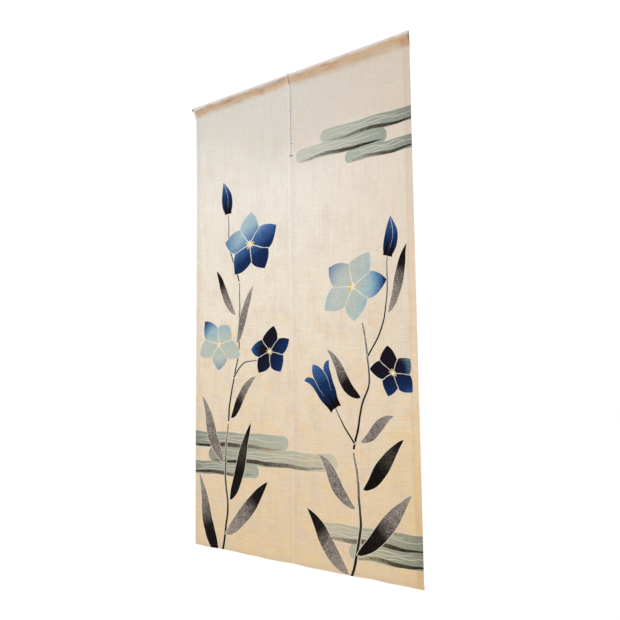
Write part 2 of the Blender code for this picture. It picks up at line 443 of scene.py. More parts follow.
LOBES = 5
LOBE_TURN = 2 * pi / LOBES
LOBE_BELLY, LOBE_LEAN = 0.22, 0.10
FLECK = ((0, 0.04), (0.5, 0.10), (0, 0.19), (-0.5, 0.10))


def petal_edge(start, tip, end):
    points = []
    for a, b, lean in ((start, tip, -LOBE_LEAN), (tip, end, LOBE_LEAN)):
        way = b - a
        bulge = (a + b) / 2 + np.array([way[1], -way[0]]) * LOBE_BELLY + way * lean
        points += [(1 - t) ** 2 * a + 2 * t * (1 - t) * bulge + t * t * b for t in np.arange(8) / 8]
    return points


def bloom(center, reach, turn, squash, lean, tips, stops):
    """A five-lobed bell seen from in front. Its dye runs across the whole flower, with some tips darker.

    Each lobe differs a little from the next in its notch, its tip's place and where its dye starts.
    """
    center, reach = scaled(center), reach * MM
    spin = np.array([ray(lean), ray(lean + pi / 2)]).T
    shape = spin @ np.diag([1.0, squash]) @ spin.T

    def at(angle, radius):
        return center + shape @ (radius * reach * ray(angle))

    def notch(lobe):
        return 0.60 + 0.06 * sin(2.3 * (lobe % LOBES) + turn)

    whole, petals, lines = [], [], []
    share = np.linspace(0, 1, 7)
    for k in range(LOBES):
        middle = turn + k * LOBE_TURN
        parting = middle + LOBE_TURN / 2
        start, end = at(middle - LOBE_TURN / 2, notch(k)), at(parting, notch(k + 1))
        tip = at(middle + 0.12 * sin(4.1 * k + reach * 90), 1.0 + 0.08 * cos(3.7 * k + turn))
        edge = petal_edge(start, tip, end)
        whole += edge
        foot = [at(middle + LOBE_TURN / 4, 0.06), at(middle - LOBE_TURN / 4, 0.06)]
        petals.append(np.array([*edge, end, *foot]))
        line = [at(parting + 0.05 * sin(5 * r + k), 0.14 + (notch(k + 1) - 0.10) * r) for r in share]
        lines.append(bare(stroke(np.array(line), (0.5 + 1.6 * share) * MM)))
    shapes = [halo(np.array(whole))]
    way = reach * ray(lean + 0.9)
    for k, outline in enumerate(petals):
        shift = 0.10 * reach * sin(2.7 * k + turn) * ray(lean)
        paint = along(center - way + shift, center + way + shift, stops)
        if k in tips:
            paint = layered(paint, around(center, reach, tips[k]))
        shapes.append(Shape(outline, paint, 0.5))
    star = [at(turn + LOBE_TURN / 2 * k, 0.05 if k % 2 else 0.15) for k in range(2 * LOBES)]
    shapes += [*lines, Shape(np.array(star), plain(PALE, 0.85), 0.0)]
    for k in (0, 2, 3):
        fleck = np.array([at(turn + k * LOBE_TURN + angle, radius) for angle, radius in FLECK])
        shapes.append(Shape(fleck, plain(GOLD, 0.9), 0.1))
    return shapes


def sepal(line, width):
    return Shape(stroke(line, np.linspace(width, SEPAL_TIP, len(line))), plain(INK, 1.0), 0.3)


# Half of a cup seen from the side, as shares of its length and of half its width
CUP_SIDE = ((0.0, 0.0), (0.03, 0.36), (0.26, 0.68), (0.56, 0.80), (0.82, 0.96), (1.00, 1.26))
CUP_LOBE = ((1.00, 1.26), (1.02, 0.98), (0.97, 0.68), (0.86, 0.46))
CUP_MIDDLE_LOBE = ((0.86, 0.46), (1.02, 0.36), (1.12, 0.18), (1.18, 0.0))


def bell(base, mouth, width, stops):
    """The flower from the side: a cup that opens into pointed lobes."""
    base, mouth, width = scaled(base), scaled(mouth), width * MM
    way = mouth - base
    normal = np.array([-way[1], way[0]]) / np.linalg.norm(way) * width / 2

    def at(u, v):
        return base + way * u + normal * v

    half = np.vstack([curve(CUP_SIDE, 4)[:-1], curve(CUP_LOBE, 4)[:-1], curve(CUP_MIDDLE_LOBE, 4)])
    outline = np.array([at(u, v) for u, v in np.vstack([half, half[-2:0:-1] * (1, -1)])])
    shapes = [halo(outline), Shape(outline, along(base, at(1.15, 0), stops), 0.5)]
    for v in (0.47, -0.47):
        line = curve([at(0.34, v * 0.7), at(0.60, v), at(0.88, v)], 5)
        shapes.append(bare(stroke(line, np.linspace(0.3, 1.7, len(line)) * MM)))
    for v in (0.40, -0.40, 0.0):
        line = curve([at(-0.06, v * 0.7), at(0.10, v * 1.1), at(0.34 - abs(v) * 0.2, v * 1.7)], 5)
        shapes.append(sepal(line, width * 0.22))
    return shapes


def bud(base, tip, width, stops):
    base, tip, width = scaled(base), scaled(tip), width * MM
    lean = sideways(np.array([base, tip]))[0] * width * 0.12
    line = curve([base, (base + tip) / 2 + lean, tip], 7)
    share = np.linspace(0, 1, len(line))
    whole = stroke(line, width * (np.sin(np.pi * (0.10 + 0.90 * share) ** 0.8) ** 0.9))
    fold = (line + sideways(line) * (width * 0.10 * np.sin(np.pi * share))[:, None])[3:-1]
    shapes = [halo(whole), Shape(whole, along(base, tip, stops), 0.5)]
    shapes.append(bare(stroke(fold, np.linspace(0.4, 1.3, len(fold)) * MM)))
    for side in (1, -1):
        shapes.append(sepal((line + sideways(line) * width * side * 0.20)[:7], width * 0.30))
    return shapes


def closed_steps(outline, longest):
    """The outline with its long sides divided."""
    points = []
    for p, q in zip(outline, following(outline)):
        count = max(1, int(np.linalg.norm(q - p) / longest))
        points.extend(p + (q - p) * k / count for k in range(count))
    return np.array(points)


def bar(x0, x1, depth, half):
    """Outline of a long band with round ends."""
    turn = np.radians(np.linspace(-90, 90, 13))
    right = pairs(x1 - half + half * np.cos(turn), depth + half * np.sin(turn))
    left = pairs(x0 + half - half * np.cos(turn), depth - half * np.sin(turn))
    return closed_steps(np.vstack([right, left]), LONGEST_SIDE)


def waver(x0, x1, depth, height, turns, start):
    share = np.linspace(0, 1, 33)
    wave = height * np.sin(pi * turns * share + start)
    return pairs(x0 + (x1 - x0) * share, depth + wave), share


# Bare lines in a band of mist: level across it, and where each starts and ends along it
MIST_LINES = ((-0.58, 0.02, 0.80), (-0.20, 0.15, 0.98), (0.18, 0.05, 0.66))


def mist(bars, strong_end):
    """Stacked bands of mist, strongest at one end, dark along their lower edges, with fine bare lines."""
    bars = scaled(bars)
    shapes = [halo(bar(*row)) for row in bars]
    start, end = [bars[:, 0].min(), bars[:, 1].max()][::strong_end]
    for row in bars:
        shapes.append(Shape(bar(*row), along((start, row[2]), (end, row[2]), MIST), 0.7))
    for k, (x0, x1, depth, half) in enumerate(bars):
        line, share = waver(x0 + half * 0.7, x1 - half * 0.7, depth + half * 0.66, half * 0.10, 3, k)
        widths = half * 0.50 * np.sin(np.pi * share) ** 0.7 + THINNEST
        tips = (line[0], line[-1])[::strong_end]
        shapes.append(Shape(stroke(line, widths), along(*tips, MIST_FOOT), 1.0))
        near, reach = x0 + half * 0.6, x1 - x0 - half * 1.2
        for row, (level, first, last) in enumerate(MIST_LINES):
            ends = near + reach * first, near + reach * last
            line, share = waver(*ends, depth + half * level, half * 0.09, 5, 2 * k + row)
            shapes.append(bare(stroke(line, 1.7 * MM * np.sin(np.pi * share) ** 0.4 + THINNEST)))
    return shapes


def by_hand(shape):
    """The shape with the small wander of a hand-cut stencil."""
    x, y = shape.outline.T / MM
    off_x = 1.5 * np.sin(y / 21 + 1.3 * np.sin(x / 43)) + 0.4 * np.sin(y / 8.3 + x / 15)
    off_y = 1.5 * np.sin(x / 25 + 1.1 * np.sin(y / 37)) + 0.4 * np.sin(x / 9.1 - y / 17)
    return shape._replace(outline=shape.outline + pairs(off_x, off_y) * MM)


def artwork():
    """Bellflowers and bands of mist, in millimetres from the curtain's top left corner."""
    drawn = (
        mist(((560, 915, 232, 21), (462, 800, 272, 22), (650, 915, 312, 19)), 1),
        mist(((-35, 418, 1150, 25), (66, 604, 1198, 26), (-35, 296, 1243, 21)), -1),
        mist(((520, 915, 1388, 24), (640, 915, 1432, 22)), 1),
        stem(((122, 1530), (150, 1380), (140, 1240), (153, 1099)), 9.0, 6.0),
        stem(((154, 1090), (172, 980), (206, 860), (214, 640)), 7.0, 5.0),
        stem(((180, 946), (232, 902), (292, 896)), 5.5, 4.0),
        stem(((211, 634), (166, 520), (158, 400)), 5.5, 3.8),
        blade(((112, 1524), (62, 1452), (58, 1366), (22, 1262)), 46, FOOT_BLACK),
        blade(((140, 1450), (216, 1412), (262, 1330), (336, 1268)), 50, TIP_BLACK),
        blade(((160, 1342), (214, 1280), (214, 1190), (262, 1090)), 44, BLACK),
        blade(((132, 1226), (84, 1170), (78, 1082), (34, 1004)), 40, GREY),
        blade(((166, 1080), (214, 1040), (226, 972), (284, 946)), 34, FOOT_BLACK),
        blade(((196, 836), (236, 780), (232, 716), (276, 656)), 32, GREY),
        blade(((190, 742), (140, 704), (136, 640), (102, 590)), 30, TIP_BLACK),
        bloom((110, 838), 104, 0.3, 0.84, 0.5, {1: BLUE_TIP, 3: NAVY_TIP}, LIGHT),
        bloom((346, 868), 90, 0.9, 0.80, -0.4, {2: BLUE_TIP}, DEEP),
        bloom((262, 520), 122, -0.35, 0.88, 0.2, {3: BLUE_TIP}, HALF),
        bud((158, 404), (134, 292), 50, CUP),
        stem(((640, 1530), (676, 1400), (678, 1280), (663, 1161)), 9.0, 6.0),
        stem(((664, 1152), (690, 1040), (718, 950), (700, 800)), 7.0, 5.0),
        stem(((668, 1136), (624, 1084), (596, 1036)), 5.5, 4.0),
        stem(((716, 892), (776, 790), (792, 618)), 5.5, 3.8),
        blade(((640, 1496), (574, 1462), (548, 1384), (492, 1330)), 48, TIP_BLACK),
        blade(((668, 1440), (744, 1408), (782, 1320), (852, 1262)), 48, FOOT_BLACK),
        blade(((664, 1316), (606, 1290), (588, 1216), (536, 1172)), 40, GREY),
        blade(((690, 1262), (746, 1240), (770, 1164), (830, 1118)), 42, BLACK),
        blade(((686, 1130), (736, 1116), (752, 1066), (800, 1058)), 32, GREY),
        blade(((690, 1010), (634, 990), (622, 920), (574, 868)), 34, FOOT_BLACK),
        blade(((790, 776), (832, 722), (826, 650), (856, 590)), 30, TIP_BLACK),
        bloom((668, 692), 116, 0.1, 0.88, 2.4, {0: NAVY_TIP, 3: BLUE_TIP}, LIGHT),
        bloom((800, 940), 82, 0.7, 0.82, 0.3, {4: PALE_TIP}, DEEP),
        bell((596, 1034), (532, 930), 88, CUP),
        bud((792, 620), (806, 506), 48, CUP),
    )
    return [by_hand(shape) for shapes in drawn for shape in shapes]


def clipped(outline, low, high):
    """The part of an outline inside a box."""
    points = list(outline)
    for axis in (0, 1):
        for sign, limit in ((1, low[axis]), (-1, high[axis])):
            kept = []
            for k, point in enumerate(points):
                before = points[k - 1]
                inside, was_inside = (sign * (p[axis] - limit) >= 0 for p in (point, before))
                if inside != was_inside:
                    share = (limit - before[axis]) / (point[axis] - before[axis])
                    crossing = before + (point - before) * share
                    crossing[axis] = limit
                    kept.append(crossing)
                if inside:
                    kept.append(point)
            points = kept
    return np.array(points)


def crossed(outline, axis, levels):
    """The outline with a point wherever it crosses one of an axis's levels."""
    points = []
    for p, q in zip(outline, following(outline)):
        points.append(p)
        if p[axis] != q[axis]:
            shares = np.sort((levels - p[axis]) / (q[axis] - p[axis]))
            points.extend(p + (q - p) * share for share in shares if 0.001 < share < 0.999)
    return np.array(points)


def holds(outline, points):
    """Whether each point lies in the outline, by the non-zero rule."""
    p, q = outline, following(outline)
    x, y = points[:, :1], points[:, 1:]
    up = (p[:, 1] <= y) & (q[:, 1] > y)
    down = (p[:, 1] > y) & (q[:, 1] <= y)
    cross = (q[:, 0] - p[:, 0]) * (y - p[:, 1]) - (x - p[:, 0]) * (q[:, 1] - p[:, 1])
    return ((up & (cross > 0)).sum(axis=1) - (down & (cross < 0)).sum(axis=1)) != 0


def spaced(*stops):
    """Values from stop to stop. The size that stands between two stops is the longest step there."""
    values = [stops[0]]
    for start, size, end in zip(stops[::2], stops[1::2], stops[2::2]):
        count = max(1, ceil((end - start) / size - 1e-9))
        values.extend(start + (end - start) * k / count for k in range(1, count + 1))
    return np.array(values)


# The flat layout's grid: its step in the open cloth, in the hems, in the folds and round the pocket
GRID = 0.008
ALLOWANCE_STEP = 0.005
HEM_STEP = 0.004
BLEND_STEP = 0.003
SIDE_FOLD_STEP = 0.00025
BOTTOM_FOLD_STEP = 0.0004
POCKET_BACK_STEP = 0.0045
POCKET_LOOP_STEP = 0.0017
POCKET_FRONT_STEP = 0.0035
LOOP_FROM, LOOP_TO = -0.022, 0.005
FOLD_MARGIN = 1.1
SLIVER = 1e-13
WELD = 1e-6

ARTWORK = artwork()
ART_LOW, ART_HIGH = (CUT_LEFT, HEADING_END + 0.003), (CUT_RIGHT, CUT_BOTTOM)


def from_left(side, a):
    """Distance from the curtain's left edge of points across a panel's flat sheet."""
    return PANEL_WIDTH + side * a * PANEL_WIDTH / FLAT_WIDTH


def grid_lines():
    """The flat layout's columns and rows, and those of them that lie in the folds."""
    quarter = BEND * pi / 2
    deep = (BEND + LAYER_STEP) * pi / 2
    columns = spaced(
        CUT_LEFT, ALLOWANCE_STEP, -quarter, SIDE_FOLD_STEP, quarter, ALLOWANCE_STEP, INNER_HEM,
        BLEND_STEP, INNER_HEM + HEM_BLEND, GRID, FLAT_WIDTH - OUTER_HEM - HEM_BLEND,
        BLEND_STEP, FLAT_WIDTH - OUTER_HEM, ALLOWANCE_STEP, FLAT_WIDTH - quarter,
        SIDE_FOLD_STEP, FLAT_WIDTH + quarter, ALLOWANCE_STEP, CUT_RIGHT,
    )
    rows = spaced(
        CUT_TOP, POCKET_BACK_STEP, LOOP_FROM, POCKET_LOOP_STEP, LOOP_TO, POCKET_FRONT_STEP, ART_LOW[1],
        GRID, DROP - BOTTOM_HEM, HEM_STEP, DROP - deep, BOTTOM_FOLD_STEP, DROP + deep,
        ALLOWANCE_STEP, CUT_BOTTOM,
    )
    from_fold = np.minimum(np.abs(columns), np.abs(columns - FLAT_WIDTH))
    side_folds = columns[from_fold < FOLD_MARGIN * quarter]
    bottom_fold = rows[np.abs(rows - DROP) < FOLD_MARGIN * deep]
    return columns, rows, side_folds, bottom_fold


def flat_layout(side):
    """Triangles of the flat sheet that follow the artwork's outlines, with the dye of each corner."""
    columns, rows, side_folds, bottom_fold = grid_lines()
    grid_a, grid_b = np.meshgrid(columns, rows)
    points = pairs(grid_a.ravel(), grid_b.ravel())
    index = np.arange(grid_a.size).reshape(grid_a.shape)
    rim = np.concatenate([index[0], index[1:, -1], index[-1, -2::-1], index[-2:0:-1, 0]])
    edges, chunks, count = [pairs(rim, following(rim))], [points], len(points)
    shapes = []
    for shape in ARTWORK:
        a = side * (shape.outline[:, 0] - PANEL_WIDTH) * FLAT_WIDTH / PANEL_WIDTH
        outline = clipped(pairs(a, shape.outline[:, 1]), ART_LOW, ART_HIGH)
        if len(outline) < 3:
            continue
        outline = crossed(crossed(closed_steps(outline, GRID), 0, side_folds), 1, bottom_fold)
        order = np.arange(count, count + len(outline))
        chunks.append(outline)
        edges.append(pairs(order, following(order)))
        count += len(outline)
        shapes.append(shape._replace(outline=outline))
    corners_at = [Vector(p) for p in np.concatenate(chunks).tolist()]
    made = delaunay_2d_cdt(corners_at, np.concatenate(edges).tolist(), [], 0, WELD, False)
    points = np.array([tuple(p) for p in made[0]])
    corners = np.array(made[2])
    p, q, r = (points[corners[:, k]] for k in range(3))
    twice = (q[:, 0] - p[:, 0]) * (r[:, 1] - p[:, 1]) - (r[:, 0] - p[:, 0]) * (q[:, 1] - p[:, 1])
    corners = corners[np.abs(twice) > SLIVER]
    middles = points[corners].mean(axis=1)
    seen = pairs(from_left(side, points[:, 0]), points[:, 1])
    dye = np.zeros((len(corners), 3, 4))
    grain = np.zeros((len(corners), 3))
    for shape in shapes:
        low, high = shape.outline.min(axis=0), shape.outline.max(axis=0)
        near = np.flatnonzero(((middles >= low) & (middles <= high)).all(axis=1))
        hit = near[holds(shape.outline, middles[near])]
        dye[hit] = shape.paint(seen[corners[hit]].reshape(-1, 2)).reshape(-1, 3, 4)
        grain[hit] = shape.grain
    return points, corners, dye, grain


def open_edges(corners):
    """Edges that only one triangle has."""
    edges = {}
    for k in range(3):
        for i, j in zip(corners[:, k].tolist(), corners[:, (k + 1) % 3].tolist()):
            if (j, i) in edges:
                del edges[j, i]
            else:
                edges[i, j] = True
    return list(edges)


# Dye that shows on the cloth's inner side, and painted shade: dark brown painted inside the pocket's open
# right end, which lies in shadow
SEEPED = 0.85
POCKET_SHADE = (0.110, 0.060, 0.030)
POCKET_SHADE_SHARE = 0.95
POCKET_SHADE_FROM, POCKET_SHADE_FULL, POCKET_SHADE_FADES, POCKET_SHADE_GONE = 0.008, 0.012, 0.028, 0.036
LINING_SHADE_FROM, LINING_SHADE_FULL = 0.862, 0.870
TUCKED_PAST = 0.0010


def inner_side(side, a, b, depth, corners, dye):
    """The dye of the cloth's inner side. Painted shade is added there at the pocket's open right end, and in
    dye where it is tucked in.
    """
    inner = dye[:, ::-1].copy()
    inner[:, :, 3] *= SEEPED
    # Painted shade inside the pocket's open right end, on its lining and on the right panel's tucked
    # allowance
    above = ease((POCKET_SHADE_GONE - depth) / (POCKET_SHADE_GONE - POCKET_SHADE_FADES))
    dark = POCKET_SHADE_SHARE * ease((depth - POCKET_SHADE_FROM) / (POCKET_SHADE_FULL - POCKET_SHADE_FROM)) * above
    dark = dark * (b < HEADING_END)
    lining = dark * ease((from_left(side, a) - LINING_SHADE_FROM) / (LINING_SHADE_FULL - LINING_SHADE_FROM))
    tucked = dark * (side > 0) * (a > FLAT_WIDTH + TUCKED_PAST)
    for paint, share, order in ((inner, lining, corners[:, ::-1]), (dye, tucked, corners)):
        paint[share[order] > 0] = [*linear(POCKET_SHADE), 0]
        paint[:, :, 3] += share[order]
    return inner


# Places in the bake's unit square: the outer side, the strips for the rim, and the inner side's shift
BAKE_LEFT, BAKE_WIDTH, BAKE_LOW, BAKE_HEIGHT = 0.01, 0.47, 0.005, 0.99
RIM_LEFT, RIM_WIDTH, RIM_LOW, RIM_HIGH, RIM_HEIGHT = 0.486, 0.006, 0.001, 0.996, 0.003
INNER_SHIFT = (0.5, 0.0)


def bake_places(a, b, corners, borders):
    """The outer side fills the left half, the inner side the right half and the rim the strips left over."""
    u = BAKE_LEFT + BAKE_WIDTH * (a - CUT_LEFT) / (CUT_RIGHT - CUT_LEFT)
    v = BAKE_LOW + BAKE_HEIGHT * (b - CUT_TOP) / (CUT_BOTTOM - CUT_TOP)
    outer = pairs(u, v)
    rim = []
    for i, j in borders:
        if abs(a[i] - a[j]) < abs(b[i] - b[j]):
            first, last, step = (RIM_LEFT, v[i]), (RIM_LEFT, v[j]), (RIM_WIDTH, 0.0)
        else:
            first, last = ((u[k], RIM_LOW if v[k] < 0.5 else RIM_HIGH) for k in (i, j))
            step = (0.0, RIM_HEIGHT)
        rim += [last, first, np.add(first, step), np.add(last, step)]
    return np.concatenate([outer[corners.ravel()], outer[corners[:, ::-1].ravel()] + INNER_SHIFT, rim])


def store(mesh, name, kind, domain, field, values):
    mesh.attributes.new(name, kind, domain).data.foreach_set(field, np.concatenate(values))


def cloth_panel(side):
    """One panel: its flat layout folded, with an outer and an inner face and a rim."""
    points, corners, dye, grain = flat_layout(side)
    if side > 0:
        corners, dye, grain = corners[:, ::-1], dye[:, ::-1], grain[:, ::-1]
    a, b = points.T
    count, faces = len(points), len(corners)
    middle = fold_cloth(side, a, b)
    half = outward(side, a, b) * SHEET / 2
    borders = open_edges(corners)
    rim = [(j, i, i + count, j + count) for i, j in borders]
    back = corners[:, ::-1] + count
    mesh = bpy.data.meshes.new(f"cloth_{SIDE_NAMES[side]}")
    places = np.concatenate([middle + half, middle - half])
    mesh.from_pydata(places.tolist(), [], corners.tolist() + back.tolist() + rim)
    mesh.polygons.foreach_set("use_smooth", np.arange(len(mesh.polygons)) < 2 * faces)

    inner = inner_side(side, a, b, ROD_AXIS_DEPTH - middle[:, 2], corners, dye)
    flat = np.stack([from_left(side, a), b, np.full(count, 0.5 + 0.5 * side)], axis=1).ravel()
    dyes = (dye.ravel(), inner.ravel(), np.zeros(16 * len(rim)))
    grains = (grain.ravel(), grain[:, ::-1].ravel(), np.zeros(4 * len(rim)))
    store(mesh, "dye", "FLOAT_COLOR", "CORNER", "color", dyes)
    store(mesh, "grain", "FLOAT", "CORNER", "value", grains)
    store(mesh, "cloth", "FLOAT_VECTOR", "POINT", "vector", (flat, flat))
    uv = bake_places(a, b, corners, borders)
    mesh.uv_layers.new(name="OFBake").uv.foreach_set("vector", uv.ravel())
    mesh.validate()
    return add_piece(mesh)


def placed(item):
    bpy.context.scene.collection.objects.link(item)
    return item


def add_piece(mesh):
    return placed(bpy.data.objects.new(mesh.name, mesh))


THREAD_TAPER = 0.55


def tubes(name, paths, normals, radius, sides):
    """One mesh of short threads: each path is a row of points, each normal points out of the cloth."""
    paths, normals = np.asarray(paths, float), np.asarray(normals, float)
    many, length, _ = paths.shape
    step = unit(np.gradient(paths, axis=1))
    binormal = unit(np.cross(step, normals))
    upright = np.cross(binormal, step)
    thick = np.full((length, 1), radius)
    thick[[0, -1]] *= THREAD_TAPER
    turns = [2 * pi * k / sides for k in range(sides)]
    rings = [paths + (upright * cos(turn) + binormal * sin(turn)) * thick for turn in turns]
    points = np.stack(rings, axis=2)
    index = np.arange(many * length * sides).reshape(many, length, sides)
    after = np.roll(index, -1, axis=2)
    quads = np.stack([index[:, :-1], index[:, 1:], after[:, 1:], after[:, :-1]], axis=-1)
    caps = index[:, 0].tolist() + index[:, -1, ::-1].tolist()
    mesh = bpy.data.meshes.new(name)
    mesh.from_pydata(points.reshape(-1, 3).tolist(), [], quads.reshape(-1, 4).tolist() + caps)
    mesh.shade_smooth()
    mesh.validate()
    return add_piece(mesh)


# Hem stitches: their pitch and lengths, how far they stand out and start inside, and their scatter
HEM_PITCH = 0.0065
FRONT_STITCH = 0.0013
BACK_STITCH = 0.0046
STITCH_RADIUS = 0.00019
STITCH_HEIGHT = 0.00012
STITCH_BURIED = 0.00028
STITCH_SCATTER = 0.00012
STITCH_POINTS = 5
FROM_HEM_EDGE = 0.002
FROM_CORNER = 0.004
BELOW_HEADING = 0.005
FOOT_LINE = HEADING_END - 0.0015
POCKET_BACK_LINE = CUT_TOP + 0.0025
ACROSS, DOWN = 0, 1
Seam = namedtuple("Seam", "way front back start end")


def stitch_paths(side, starts, ends):
    """Threads that leave the cloth at one flat point and enter it again at another."""
    share = np.linspace(0, 1, STITCH_POINTS)
    spots = starts[:, None] + (ends - starts)[:, None] * share[None, :, None]
    a, b = spots.reshape(-1, 2).T
    normal = outward(side, a, b)
    rise = -STITCH_BURIED + (STITCH_HEIGHT + STITCH_BURIED) * np.sin(pi * share) ** 0.6
    place = fold_cloth(side, a, b) + normal * (SHEET / 2 + np.tile(rise, len(starts)))[:, None]
    shape = (len(starts), STITCH_POINTS, 3)
    return place.reshape(shape), normal.reshape(shape)


def stitch_ends(way, fixed, start, end, length, seed):
    """Start and end points of a row of stitches along one flat direction."""
    dice = np.random.default_rng(seed)
    count = int((end - start) / HEM_PITCH)
    at = start + HEM_PITCH * (np.arange(count) + 0.5) + dice.normal(0, 0.04 * HEM_PITCH, count)
    off = fixed + dice.normal(0, STITCH_SCATTER, (2, count))
    half = length * (1 + dice.normal(0, 0.10, count)) / 2
    rows = pairs(at - half, off[0]), pairs(at + half, off[1])
    return rows if way == ACROSS else tuple(row[:, ::-1] for row in rows)


def hem_stitches(side):
    """Small stitches in front and long ones behind along the hems and the foot of the pocket."""
    inner, outer, bottom = (hem - FROM_HEM_EDGE for hem in (INNER_HEM, OUTER_HEM, BOTTOM_HEM))
    down = HEADING_END + BELOW_HEADING, DROP - BOTTOM_HEM - FROM_HEM_EDGE
    wide = FROM_CORNER, PANEL_WIDTH - FROM_CORNER
    seams = (
        Seam(DOWN, inner, -inner, *down),
        Seam(DOWN, FLAT_WIDTH - outer, FLAT_WIDTH + outer, *down),
        Seam(ACROSS, DROP - bottom, DROP + bottom, *wide),
        Seam(ACROSS, FOOT_LINE, POCKET_BACK_LINE, *wide),
    )
    parts = []
    for row, seam in enumerate(seams):
        for behind, fixed, length in ((0, seam.front, FRONT_STITCH), (1, seam.back, BACK_STITCH)):
            shift = behind * HEM_PITCH / 2
            seed = 100 * row + behind + 10 * (side + 1)
            rows = stitch_ends(seam.way, fixed, seam.start + shift, seam.end - shift, length, seed)
            parts.append(stitch_paths(side, *rows))
    paths, normals = (np.concatenate([part[k] for part in parts]) for k in (0, 1))
    return tubes(f"hem_stitches_{SIDE_NAMES[side]}", paths, normals, STITCH_RADIUS, 5)


# Middle seam: its line lies a little right of the panels' meeting edges; knots hold it in the heading.
# Each kind of thread has its height over the cloth and three points, counted from where it is sewn.
SEAM_LINE = 0.0003
Stroke = namedtuple("Stroke", "height start middle end")
KNOT_TURN = Stroke(0.0009, (-0.0016, 0.0), (0.0, 0.0002), (0.0016, 0.0005))
KNOT_WRAP = Stroke(0.0014, (0.0, -0.0015), (0.0, 0.0), (0.0, 0.0017))
WHIP = Stroke(0.0004, (-0.0006, 0.0), (0.0, 0.0010), (0.0006, 0.0024))
LOOP = Stroke(0.0008, (-0.0014, 0.0), (0.0008, 0.0005), (0.0026, 0.0014))
THIN_BAR = Stroke(0.0007, (-0.0036, 0.0), (0.0, 0.0002), (0.0036, 0.0004))
FULL_BAR = Stroke(0.0007, (-0.0056, 0.0), (0.0, 0.0002), (0.0056, 0.0004))
KNOT_DEPTHS = (0.0050, 0.0138, 0.0225, 0.0302)
KNOT_TURNS, KNOT_WRAPS, KNOT_TURN_STEP, KNOT_WRAP_STEP, KNOT_SCATTER = 6, 3, 0.00055, 0.0008, 0.0003
WHIP_FROM, WHIP_TO, WHIP_PITCH, WHIP_PITCH_SCATTER, WHIP_SCATTER = 0.036, 0.246, 0.0052, 0.0005, 0.0001
LOOP_STEP = 0.0007
Loops = namedtuple("Loops", "depth count x")
LOOSE_LOOPS = (
    Loops(0.118, 2, 0.0), Loops(0.176, 3, 0.0), Loops(0.201, 2, 0.0006), Loops(0.209, 2, 0.0014),
    Loops(0.222, 5, 0.0016),
)
BAR_STEP, BAR_SCATTER = 0.0009, 0.0004
Bar = namedtuple("Bar", "depth rows stroke")
BARS = (Bar(0.2515, 1, THIN_BAR), Bar(0.2605, 4, FULL_BAR))
THREAD_RADIUS = 0.00030
THREAD_BURIED = 0.0004
THREAD_POINTS = 7
CLOSEST_TO_FOLD = 0.0007
FOLD_SAMPLES = 200
FOLD_TOP = -0.008


def flat_depth(side, a, depth):
    """Flat distance along the sheet at which its front reaches a depth."""
    if depth >= HEADING_END:
        return depth
    flat = np.linspace(HEADING_END, FOLD_TOP, FOLD_SAMPLES)
    heights = ROD_AXIS_DEPTH - fold_cloth(side, np.full(FOLD_SAMPLES, a), flat)[:, 2]
    return float(np.interp(-depth, -heights, flat))


def seam_spot(x, depth, rise):
    """A point in front of the middle seam, at a small X, and the cloth's normal there."""
    side = RIGHT if x >= 0 else LEFT
    a = max(abs(x), CLOSEST_TO_FOLD)
    b = flat_depth(side, a, depth)
    a, b = np.array([a]), np.array([b])
    normal = outward(side, a, b)[0]
    place = fold_cloth(side, a, b)[0] + normal * (SHEET / 2 + rise)
    if abs(x) < a[0]:
        place[0] = SEAM_X + x
    return place, normal


def seam_thread():
    """The dark hand sewing that joins the panels, from its knots down to a bar across its end."""
    dice = np.random.default_rng(7)
    share = np.linspace(0, 1, THREAD_POINTS)
    paths, normals = [], []

    def add(stroke, x, depth, wander=(0.0, 0.0, 0.0)):
        """One thread at a place, its three points off by a small X each."""
        points = [(x + dx + off, depth + down) for (dx, down), off in zip(stroke[1:], wander)]
        line = curve(points, 12)
        spots = [np.interp(share, np.linspace(0, 1, len(line)), line[:, k]) for k in (0, 1)]
        rises = -THREAD_BURIED + (stroke.height + THREAD_BURIED) * np.sin(pi * share) ** 0.5
        made = [seam_spot(x, depth, rise) for x, depth, rise in zip(*spots, rises)]
        paths.append([place for place, _ in made])
        normals.append([normal for _, normal in made])

    def ends_off(scatter):
        left, right = dice.normal(0, scatter, 2)
        return left, 0.0, right

    for depth in KNOT_DEPTHS:
        for row in range(KNOT_TURNS):
            level = depth + (row - (KNOT_TURNS - 1) / 2) * KNOT_TURN_STEP
            add(KNOT_TURN, SEAM_LINE, level, ends_off(KNOT_SCATTER))
        for row in range(KNOT_WRAPS):
            x = SEAM_LINE + (row - (KNOT_WRAPS - 1) / 2) * KNOT_WRAP_STEP
            add(KNOT_WRAP, x, depth, (0.0, dice.normal(0, KNOT_SCATTER), 0.0))
    depth = WHIP_FROM
    while depth < WHIP_TO:
        pitch = WHIP_PITCH + dice.normal(0, WHIP_PITCH_SCATTER)
        add(WHIP, SEAM_LINE + dice.normal(0, WHIP_SCATTER), depth)
        depth += pitch
    for depth, count, x in LOOSE_LOOPS:
        for row in range(count):
            add(LOOP, x, depth + row * LOOP_STEP)
    for depth, rows, stroke in BARS:
        for row in range(rows):
            add(stroke, SEAM_LINE, depth + row * BAR_STEP, ends_off(BAR_SCATTER))
    return tubes("seam_thread", paths, normals, THREAD_RADIUS, 6)


def operation(name, swapped=False, **settings):
    """A method that puts a math node on a value and, for most of them, on another value or number."""

    def method(self, other=0.0):
        first, second = (other, self) if swapped else (self, other)
        node = self.graph.add("Math", {0: first, 1: second}, operation=name, **settings)
        return Value(self.graph, node.outputs[0])

    return method


